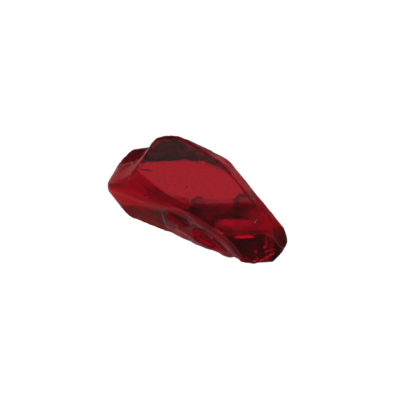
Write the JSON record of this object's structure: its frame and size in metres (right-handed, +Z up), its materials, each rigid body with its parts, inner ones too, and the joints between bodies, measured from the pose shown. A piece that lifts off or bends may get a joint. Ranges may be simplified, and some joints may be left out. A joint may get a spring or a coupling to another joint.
{
  "type": "rough spinel crystal",
  "caption": "Rough, unset see-through red crystal fragment with flat growth faces, a stepped corner, a frosted flank and a level face that it rests on.",
  "frame": {"origin": "on the surface that the stone rests on, under the middle of its box", "axes": "+X along the stone's length, from the blunt left tip to the dark wedge end; +Y across it, away from the frosted flank; +Z up"},
  "size_m": [0.0122, 0.006, 0.0044],
  "materials": {
    "spinel": "glassy growth faces with frosted, worn edges and flank"
  },
  "bodies": {
    "root": {"spinel_crystal": "spinel"}
  },
  "joints": []
}
